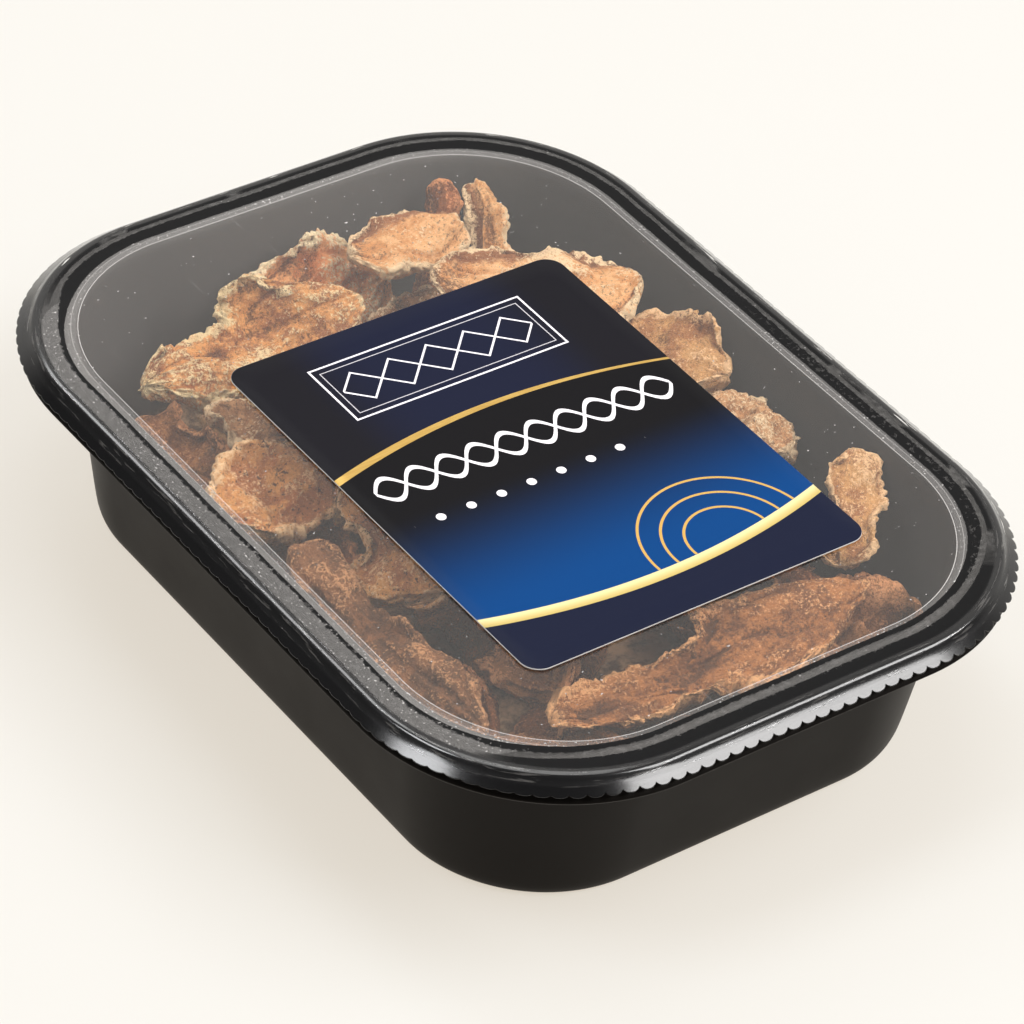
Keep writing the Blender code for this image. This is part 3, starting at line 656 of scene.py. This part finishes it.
def fine_slice(piece, spacing):
    """A slice with points about spacing apart, and its relief worked into the shape.

    Rings run from tip to tip. The torn rims are thinner, bitten in and out by bumps of
    7, 3 and 1.3 mm, and curl up in places. Each point moves along its normal by ridges
    and furrows that are stretched along the slice, swellings of 11 mm, lumps of 5 mm,
    and crumbs of 1.9, 1.0 and 0.55 mm that are coarsest at the rims. Broad slices also
    rise and fall in folds of 13 mm. Marks of where each point lies go to the finish.
    """
    sections = max(24, int(piece.length * 1.05 / spacing))
    around = max(24, int(2 * (piece.width + piece.thick) * 0.9 / spacing))
    inner = 0.5 - 0.5 * np.cos(math.pi * np.linspace(0.035, 0.965, sections))
    inner = 0.75 * np.linspace(inner[0], inner[-1], sections) + 0.25 * inner
    s, angle = np.meshgrid(inner, even_angles(around, piece.width, piece.thick), indexing="ij")
    grid, v, h, up = slice_surface(piece, s, angle, RIM_THINNING)
    offset = 37.0 * (piece.seed % 60)
    slab = np.stack([s * piece.length, v * piece.width / 2, h * piece.thick / 2], axis=-1) + offset
    sheet = slab * [1, 1, 0.3]
    fibres = slab * [0.28, 1, 0.6]
    coarse = {"long": 0.95, "skin": 0.6, "brown": 0.85, "pale": 0.75}.get(piece.finish, 1.0)
    reach = np.abs(v) + 0.16 * grit(sheet, 4.0, 9)
    edge = np.maximum(smooth_step(reach, 0.66, 1.0), smooth_step(np.abs(2 * s - 1), 0.82, 1.0))
    bite = 1.5 * grit(sheet, 7.0, 7) + 1.0 * grit(sheet, 3.0, 8) + 0.55 * grit(slab, 1.3, 10)
    bite = np.clip(bite - 0.2, -2.4, 1.0) * smooth_step(np.abs(v), 0.7, 1.0) * min(1.0, piece.width / 20)
    ridges = 1 - 2 * np.abs(grit(fibres, 3.0, 1)) + 0.6 * grit(fibres, 1.2, 2)
    furrows = smooth_step(1 - np.abs(grit(fibres, 6.0, 11)), 0.86, 1.0)
    lumps = grit(slab, 5.0, 3)
    crumbs = grit(slab, 1.9, 4) + 0.75 * grit(slab, 1.0, 5) + 0.5 * grit(slab, 0.55, 6)
    relief = (0.35 * ridges - 0.7 * furrows + 0.75 * lumps + 1.4 * grit(slab, 11.0, 13)
              + (0.34 + 0.44 * edge) * coarse * crumbs) * blunt_ends(s, 10.0)
    curl = 2.8 * edge * smooth_step(grit(sheet, 9.0, 12), -0.2, 0.7) * blunt_ends(s, 10.0)
    normal = outward(grid)
    if np.einsum("ijk,ijk->", normal, grid - grid.mean(axis=(0, 1))) < 0:
        normal = -normal
    fold = 1.7 * grit(sheet, 13.0, 14) * smooth_step(piece.width, 12, 24)
    grid = grid + normal * (relief - 0.2 + bite)[..., None] + up * (curl + fold)[..., None]
    ends = np.array([[0.0], [1.0]])
    tips = slice_surface(piece, ends, np.zeros_like(ends))[0][:, 0]
    tips = 0.3 * tips + 0.7 * grid[[0, -1]].mean(axis=1)
    return grid, tips, {"rim": edge, "relief": relief, "along": s, "across": v, "through": h}


def flesh(name, face, blotch, rim, dark, fibre, speck, rim_reach, skin):
    """Dried mushroom flesh in display colours.

    A face colour breaks into blotches, the torn rims are pale, pits and specks are
    dark, and fibres of darker flesh run along the slice. Painted shade darkens the low
    places, and painted highlights in the rim colour light the high crumbs. A skin
    colour, if given, covers one edge. fibre and speck say how strong those are, and
    rim_reach how far the pale rim comes in.
    """
    finish, place = new_finish(name)
    edge, relief, along, across, through = (
        place.stored(key) for key in ("rim", "relief", "along", "across", "through"))
    strands = place.node("ShaderNodeCombineXYZ", {}, {
        0: along * 0.012, 1: across * 0.012, 2: through * 0.004})
    patches = place.noise(8, 3.0, 0.6)
    mottle = place.noise(2.4, 5.0, 0.7)
    crumb = place.noise(0.7, 4.0, 0.78)
    thread = strands.noise(0.5, 3.0, 0.65)
    colour = (patches * 0.5 + mottle * 0.5).rise(0.45, 0.56).blend(srgb(*face), srgb(*blotch))
    if skin:
        covered = (across + 0.6 * mottle).rise(0.75, 1.0)
        colour = covered.blend(colour, srgb(*skin))
    colour = ((1 - thread).rise(0.52, 0.68) * fibre).blend(colour, srgb(*dark))
    torn = (edge + (mottle - 0.5) * 2.6 + (crumb - 0.5) * 2.0 + rim_reach).rise(0.5, 1.1)
    colour = torn.blend(colour, srgb(*rim))
    # Painted shade: low places take the dark colour, along with dark pits in the crumb.
    pits_and_painted_shade = ((0.5 - crumb) * 3.6 - relief * 0.7 + (0.5 - mottle) * 1.8).rise(0.2, 0.95)
    colour = (pits_and_painted_shade * 0.8).blend(colour, srgb(*dark))
    freckle = place.noise(1.1, 2.0, 0.75)
    colour = (freckle.rise(0.6, 0.66) * speck).blend(colour, srgb(*dark))
    # Painted highlights: high crumbs and raised places take the pale rim colour.
    high = (relief * 0.45 + (crumb - 0.5) * 4.2 + (mottle - 0.5) * 1.2).rise(0.25, 0.85)
    colour = (high * 0.95).blend(colour, srgb(*rim))
    height = crumb + 0.7 * mottle + 0.4 * thread + 0.5 * place.noise(0.3, 2.0, 0.6)
    surface(finish, place.node("ShaderNodeBsdfPrincipled", {}, {
        "Base Color": colour, "Roughness": 0.7 + 0.22 * mottle, "Specular IOR Level": 0.3,
        "Normal": bump(height, 1.0, 0.75)}))
    return finish


CREAM = (255, 208, 155)
# Each finish: its face, blotch, rim and dark colours, how strong its dark fibres and
# specks are, how far its pale rim reaches in, and the colour of its skin, if it shows.
# The rim colour also paints the highlights, and the dark colour the shade in low places.
LOOKS = {
    "tan": ((217, 159, 97), (176, 115, 65), CREAM, (99, 59, 34), 0.35, 0.5, 0.0, None),
    "brown": ((174, 102, 54), (129, 72, 39), (238, 160, 104), (69, 40, 24), 0.5, 0.35, 0.0, None),
    "dull": ((181, 119, 68), (139, 85, 48), (234, 164, 112), (82, 50, 31), 0.5, 0.4, 0.0, None),
    # Painted light: brightened to offset the shade that falls on slice 18, the only slice with this finish.
    "rust_lightened": ((255, 180, 114), (228, 138, 76), (255, 230, 186), (104, 58, 32), 0.3, 0.55, 0.0, None),
    "crumb": ((222, 162, 108), (170, 113, 66), (255, 220, 174), (91, 58, 35), 0.2, 0.7, 0.1, None),
    "pored": ((230, 159, 90), (185, 113, 62), CREAM, (93, 54, 31), 0.15, 0.95, 0.0, None),
    "pale": ((255, 194, 132), (226, 154, 88), (255, 221, 174), (116, 71, 39), 0.2, 0.6, 0.1, (168, 105, 59)),
    "skin": ((144, 94, 57), (104, 69, 44), (216, 156, 106), (60, 39, 26), 0.6, 0.3, -0.2, None),
    "slab": ((238, 164, 92), (172, 105, 58), (255, 225, 172), (90, 52, 30), 0.3, 0.55, 0.05, None),
    "long": ((188, 121, 66), (129, 79, 44), (244, 181, 123), (72, 44, 27), 0.35, 0.5, 0.05, None),
}
FLESH = {name: flesh(f"flesh_{name}", *look) for name, look in LOOKS.items()}
# The pile is pressed by the film: heights over the first value level off within the
# second, and nothing sinks below the third, just over the tray's floor.
PRESS_START = 41.9
PRESS_ROOM = 0.7
FLOOR_ROOM = 1.2


def pressed(points):
    """Points kept over the tray's floor and below the film, where heights level off by a tanh curve."""
    over = np.maximum(points[:, 2] - PRESS_START, 0) / PRESS_ROOM
    level = np.minimum(points[:, 2], PRESS_START) + PRESS_ROOM * np.tanh(over)
    return np.column_stack([points[:, :2], np.maximum(level, FLOOR_ROOM)])


for number, piece in enumerate(SLICES, start=1):
    grid_size = LOW_GRID if number <= LOWER_COUNT else TOP_GRID
    node = f"{NAMES[piece.kind]}_{number:02d}"
    spacing = MIDDLE_SPACING if number in MIDDLE else UPPER_SPACING
    if number <= LOWER_COUNT:
        spacing = LOWER_SPACING
    grid, tips, marks = fine_slice(piece, spacing)
    drop = np.array(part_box(node)[0]) / MM - lowest_corner(piece, *grid_size)
    points, faces = loft(turned(piece, grid) + drop, *(turned(piece, tips) + drop))
    made = add_piece(node.replace("porcini", "dried_porcini"), pressed(points), faces,
                     FLESH[piece.finish], node)
    for key, values in marks.items():
        give(made, key, np.append(values.ravel(), [values[0, 0], values[-1, 0]]))

# The lidding film. Clear sealing film welded to the flange round the window; outside
# the weld it dips over the shoulder, flares out and ends in a zigzag knife cut.
FILM_SKIN = 0.1
TOOTH_PITCH = 3.3
TOOTH_DEPTH = 0.85
NOTCH_SHARPNESS = 2.8
CUT_WANDER = 0.1
CUT_REACH = 2.6
POINTS_PER_TOOTH = 8
FILM_ROUNDS = 1
LID_SHARES = (0.12, 0.3, 0.5, 0.7, 0.88)
MIDDLE_INSET = 14.0
WINDOW_INSET = FLANGE_INNER + 0.2
film_length = 2 * (RIM_WIDTH + RIM_LENGTH - 4 * RIM_RADIUS) + 2 * math.pi * RIM_RADIUS
teeth = round(film_length / TOOTH_PITCH)
film_box, film_circle, film_run = outline_frame(teeth * POINTS_PER_TOOTH)
# Inset and drop below the film's top of each corner of its profile, to its cut edge.
film_edge = [
    (13.0, 0.0), (11.6, 0.0), (9.0, 0.0), (6.0, 0.0), (4.8, 0.03), (3.9, 0.1), (3.2, 0.3),
    (2.85, 0.62), (2.55, 0.96), (2.2, 1.28), (1.75, 1.64), (1.2, 2.06), (0.6, 2.52), (0.06, 2.93),
]
profile = softened([(inset, FILM_TOP - drop) for inset, drop in film_edge], FILM_ROUNDS)
step = np.gradient(profile, axis=0)
normal = np.column_stack([step[:, 1], -step[:, 0]])
normal = normal / np.linalg.norm(normal, axis=1, keepdims=True)
normal = np.where((normal[:, 1] < 0)[:, None], -normal, normal)
under = profile - normal * FILM_SKIN
tooth = np.abs((film_run / film_length * teeth) % 1 - 0.5) * 2
wander = 1 + 0.5 * np.sin(film_run * 0.21) + 0.5 * np.sin(film_run * 0.083 + 2)
far_side = smooth_step(np.maximum(-film_circle[:, 0], film_circle[:, 1]), 0.2, 0.8)
cut_depth = TOOTH_DEPTH * (1 - 0.65 * far_side) * tooth ** NOTCH_SHARPNESS + CUT_WANDER * wander


def cut_rings(profile):
    """Insets and heights of a profile whose outer end is cut back by the zigzag.

    The run along the profile is squeezed smoothly over its last stretch, so that the
    skirt keeps its shape and only its edge moves.
    """
    run = np.concatenate([[0], np.cumsum(np.linalg.norm(np.diff(profile, axis=0), axis=1))])
    share = smooth_step(run, run[-1] - CUT_REACH, run[-1])
    moved = run[:, None] - share[:, None] * cut_depth
    return np.interp(moved, run, profile[:, 0]), np.interp(moved, run, profile[:, 1])


upper_insets, upper_heights = cut_rings(profile)
under_insets, under_heights = (values[::-1] for values in cut_rings(under))
upper_rings = pack_rings(upper_insets, upper_heights, film_box, film_circle)
under_rings = pack_rings(under_insets, under_heights, film_box, film_circle)
shares = np.array(LID_SHARES)[:, None, None]
first = upper_rings[:1] * [1, 1, 0]
last = under_rings[-1:] * [1, 1, 0]
lid_rings = first * shares + [0, 0, FILM_TOP]
bed_rings = last * shares[::-1] + [0, 0, FILM_TOP - FILM_SKIN]
rings = np.concatenate([lid_rings, upper_rings, under_rings, bed_rings])
points, faces = loft(rings, (0, 0, FILM_TOP), (0, 0, FILM_TOP - FILM_SKIN))
middle_insets = np.full((len(LID_SHARES), len(film_run)), MIDDLE_INSET)
insets = np.concatenate([middle_insets, upper_insets, under_insets, middle_insets])

film_finish, place = new_finish("lidding_film")
inset = place.stored("inset")
run = place.stored("run")
x, y, _ = place.axes()
# Millimetres out from the window's edge. Near the window the film is clear with a hazy
# ring; then come two dark weld bands, and from about 7 on it looks black and glossy.
out = WINDOW_INSET - inset
jag = place.noise(1.3, 4.0, 0.85) - 0.5
slow = place.noise(16, 2.0, 0.5) - 0.5
bubble = place.noise(0.9, 2.0, 0.6)
left_side = (x * -1).rise(48, 62)
near_side = (y * -1).rise(70, 86)
weld_start = 2.0 + 0.6 * left_side - 1.1 * near_side + slow * 0.5
weld_end = 4.7 - 1.3 * left_side - 2.6 * near_side + slow * 1.2
second_start = 5.8 - 1.8 * near_side + slow * 0.8
second_end = 7.3 - 0.3 * near_side
weld = (out - weld_start + jag * 0.4).rise(-0.05, 0.05)
weld = weld * (1 - (out - weld_end + jag * (1.4 + 1.2 * left_side)).rise(-0.08, 0.08))
second = (out - second_start + jag * 0.9).rise(-0.08, 0.08)
second = second * (1 - (out - second_end + jag * 0.5).rise(-0.15, 0.15))
second = second * (near_side + (slow + 0.12).rise(-0.02, 0.04) * (1 - left_side)).at_most(1.0)
wrinkle = (bubble + jag * 0.4).rise(0.56, 0.64) * out.band(2.6, 4.3, 0.3) * (y * -1).rise(-20, 10)
skirt = out.rise(9.5, 9.9)
streaks = place.node("ShaderNodeCombineXYZ", {}, {0: run * 0.00006, 1: inset * MM}).noise(0.55, 3.0, 0.6)
black = ((weld + second).at_most(1.0) * (1 - wrinkle * 0.8)).at_least(skirt)
edge_band = out.rise(6.5, 7.1)
black = black.at_least(streaks.rise(0.38, 0.44) * edge_band)
ring = out.rise(0.12, 0.28) * (1 - (out - 2.0 - 4.6 * left_side + jag * 0.3).rise(-0.1, 0.1))
# Painted highlights: thin pale lines along the window's edge and along a step just outside it.
painted_edge_lines = out.band(-0.1, 0.06, 0.05) + out.band(1.2, 1.32, 0.05) * 0.5
dents = place.noise(0.45, 0.0, 0.5).rise(0.75, 0.79) * ring
specks = place.noise(0.6, 0.0, 0.5).rise(0.86, 0.88)
scratch = place.stretched((1, 0.03, 1), 0.7).noise(0.8, 1.0, 0.5).rise(0.77, 0.82)
folds = (place.noise(1.3, 3.0, 0.7) + jag * 0.3).rise(0.5, 0.62) * out.band(2.0, 7.4, 0.3)
bead = out.band(7.0, 9.6, 0.3)
# The haze is the film's milky scatter. On the bead it also paints a grey sheen that stands for the bead's
# reflection.
haze = (0.012 + ring * 0.03 + painted_edge_lines * 0.26 + dents * 0.3 + specks * 0.3 + scratch * 0.035
        + folds * 0.02 + bead * 0.02)
# Painted light: the haze is a little stronger towards the far end.
haze = haze * (0.7 + 0.6 * place.noise(60, 2.0, 0.5)) + 0.004 * y.rise(-30, 90) * (1 - edge_band)
swell = place.noise(5, 2.0, 0.5) * (1 - 0.9 * edge_band)
ripple = bump(swell + bubble * out.band(1.8, 6.6, 0.2) * 0.07, 0.5, 0.2)
facing_away = place.node("ShaderNodeLayerWeight", {}, {"Blend": 0.5, "Normal": ripple}, "Facing")
# The film mirrors a small share of the light face on, and all of it at a grazing view.
mirror = 0.04 + 0.96 * facing_away ** 5
clear = place.node("ShaderNodeBsdfTransparent", {}, {"Color": (1, 1, 1, 1)})
gloss = place.node("ShaderNodeBsdfAnisotropic", {}, {
    "Color": (1, 1, 1, 1), "Roughness": 0.12, "Normal": ripple})
milk = place.node("ShaderNodeBsdfDiffuse", {}, {"Color": (0.86, 0.83, 0.81, 1)})
melted = place.node("ShaderNodeBsdfPrincipled", {}, {
    "Base Color": (0.003, 0.003, 0.0035, 1), "Roughness": 0.2 + 0.16 * (1 - skirt),
    "Specular IOR Level": 0.14, "Coat Weight": edge_band * (0.78 + 0.3 * streaks),
    "Coat Roughness": 0.14, "Coat IOR": 1.62, "Normal": ripple})
shader = place.node("ShaderNodeMixShader", {}, {0: mirror, 1: clear, 2: gloss})
shader = place.node("ShaderNodeMixShader", {}, {0: haze.at_most(1.0), 1: shader, 2: milk})
shader = place.node("ShaderNodeMixShader", {}, {0: black * 0.97, 1: shader, 2: melted})
surface(film_finish, shader)
film = add_piece("lidding_film", points, faces, film_finish, "top_film")
give(film, "inset", np.append(insets.ravel(), [MIDDLE_INSET, MIDDLE_INSET]))
give(film, "run", np.append(np.broadcast_to(film_run, insets.shape).ravel(), [0.0, 0.0]))

# The label. A coated paper sticker with rounded corners, laid on the film, printed
# edge to edge in black, navy and blue, with gold bands and a plain ornament.
LABEL_WIDTH = 79.0
LABEL_LENGTH = 102.0
LABEL_MIDDLE = (0.0, -10.6)
LABEL_RADIUS = 4.0
LABEL_LOW = FILM_TOP + 0.2
LABEL_HIGH = FILM_TOP + 0.32 + 0.25
LABEL_EDGE = 0.06
BAND_BOW = 0.0036
UPPER_BAND = 17.5
LOWER_BAND = -40.5
LOWER_BAND_HALF = 1.25
FRAME_MIDDLE = 34.5
FRAME_HALF = (25.0, 8.5)
LOZENGE_HALF = 4.5
BRAID_MIDDLE = 5.5
BRAID_HALF = (35.0, 3.4)
CROSSING_SPACING = 7.0
DOTS_MIDDLE = -6.0
DOT_RADIUS = 1.0
FAN_MIDDLE = (16.0, -38.0)
FAN_PITCH = 2.2
SOFT = 0.05
quarter = np.linspace(0, math.pi / 2, 12)
angles = np.concatenate([quarter + k * math.pi / 2 for k in range(4)])
signs = np.repeat([[1, 1], [-1, 1], [-1, -1], [1, -1]], len(quarter), axis=0)
corner = np.array([LABEL_WIDTH, LABEL_LENGTH]) / 2 - LABEL_RADIUS
outline = signs * corner + LABEL_RADIUS * np.column_stack([np.cos(angles), np.sin(angles)])


def label_ring(grow, height):
    """The label's outline moved inwards by grow, at a height."""
    share = 1 - grow / (np.linalg.norm(outline, axis=1, keepdims=True))
    flat = outline * share + LABEL_MIDDLE
    return np.column_stack([flat, np.full(len(flat), height)])


label_profile = [(6.0, LABEL_LOW), (0.1, LABEL_LOW), (0.0, LABEL_LOW + LABEL_EDGE),
                 (0.0, LABEL_HIGH - LABEL_EDGE), (0.1, LABEL_HIGH), (6.0, LABEL_HIGH)]
rings = np.stack([label_ring(*step) for step in label_profile])
points, faces = loft(rings, (*LABEL_MIDDLE, LABEL_LOW), (*LABEL_MIDDLE, LABEL_HIGH))

label_finish, place = new_finish("printed_label")
x, y, z = place.axes()
u = x - LABEL_MIDDLE[0]
v = y - LABEL_MIDDLE[1]
navy = (u * u * 0.0011).at_most(1.0).rise(0.1, 0.95).blend(srgb(20, 24, 45), srgb(21, 20, 26))
blue = (v * -1).rise(2, 34).blend(srgb(15, 14, 17), srgb(0, 57, 113))
bow = u * u * BAND_BOW
line_y = v - UPPER_BAND + bow
thick = 0.35 + 0.55 * (u * -1).rise(-40, 38)
base = line_y.rise(-0.1, 0.1).blend(blue, navy)
strip_y = v - LOWER_BAND - bow
base = (1 - strip_y.rise(-0.06, 0.06)).blend(base, srgb(20, 25, 46))
brush = place.stretched((0.08, 1, 1)).noise(0.6, 2.0, 0.6)
band_light = (strip_y + LOWER_BAND_HALF).rise(0, 2 * LOWER_BAND_HALF)


def stroke(distance, half):
    """A printed line where a distance in millimetres is under half its width."""
    return 1 - (abs(distance) - half).rise(-SOFT, SOFT)


gold = stroke(line_y, thick)
colour = gold.blend(base, brush.blend(srgb(165, 125, 58), srgb(212, 180, 106)))
pale_gold = stroke(strip_y, LOWER_BAND_HALF)
colour = pale_gold.blend(colour, band_light.blend(srgb(184, 163, 98), srgb(216, 202, 150)))
frame_u = abs(u) - FRAME_HALF[0]
frame_v = abs(v - FRAME_MIDDLE) - FRAME_HALF[1]
frame_line = stroke(frame_u.at_least(frame_v), 0.22)
inner_line = stroke((frame_u + 1.6).at_least(frame_v + 1.6), 0.1)
lattice = stroke(u.fold(LOZENGE_HALF) + abs(v - FRAME_MIDDLE) - LOZENGE_HALF, 0.3)
inside_frame = stroke(u, 5 * LOZENGE_HALF)
white = (frame_line + inner_line * 0.7 + lattice * inside_frame).at_most(1.0)
wave = u.maths("SINE", u * (math.pi / CROSSING_SPACING)) * BRAID_HALF[1]
braid_v = v - BRAID_MIDDLE
braid = (stroke(braid_v - wave, 0.62) + stroke(braid_v + wave, 0.62)).at_most(1.0)
braid = braid * stroke(u, BRAID_HALF[0])
dots = stroke((u.fold(CROSSING_SPACING / 2) ** 2 + (v - DOTS_MIDDLE) ** 2) ** 0.5, DOT_RADIUS)
white = (white + braid + dots * u.band(-34.0, 20.0, SOFT)).at_most(1.0)
colour = white.blend(colour, srgb(228, 224, 229))
fan_u = u - FAN_MIDDLE[0]
fan_v = v - FAN_MIDDLE[1]
fan_r = (fan_u * fan_u + fan_v * fan_v) ** 0.5
fan = stroke(fan_r.fold(FAN_PITCH), 0.28) * fan_r.band(5.0, 20.5, SOFT)
fan = fan * strip_y.rise(LOWER_BAND_HALF, LOWER_BAND_HALF + 0.15)
colour = fan.blend(colour, srgb(190, 152, 82))
fibre = place.noise(0.25, 2.0, 0.6)
paper = (z - (LABEL_HIGH - 0.03)).rise(-0.01, 0.01)
colour = paper.blend((0.55, 0.54, 0.53, 1), colour)
surface(label_finish, place.node("ShaderNodeBsdfPrincipled", {}, {
    "Base Color": colour, "Roughness": 0.4 + 0.1 * fibre - 0.08 * gold, "Metallic": gold * 0.35,
    "Specular IOR Level": 0.09, "Normal": bump(fibre + 1.5 * place.noise(9, 2.0), 0.25, 0.03)}))
add_piece("printed_label", points, faces, label_finish, "label")
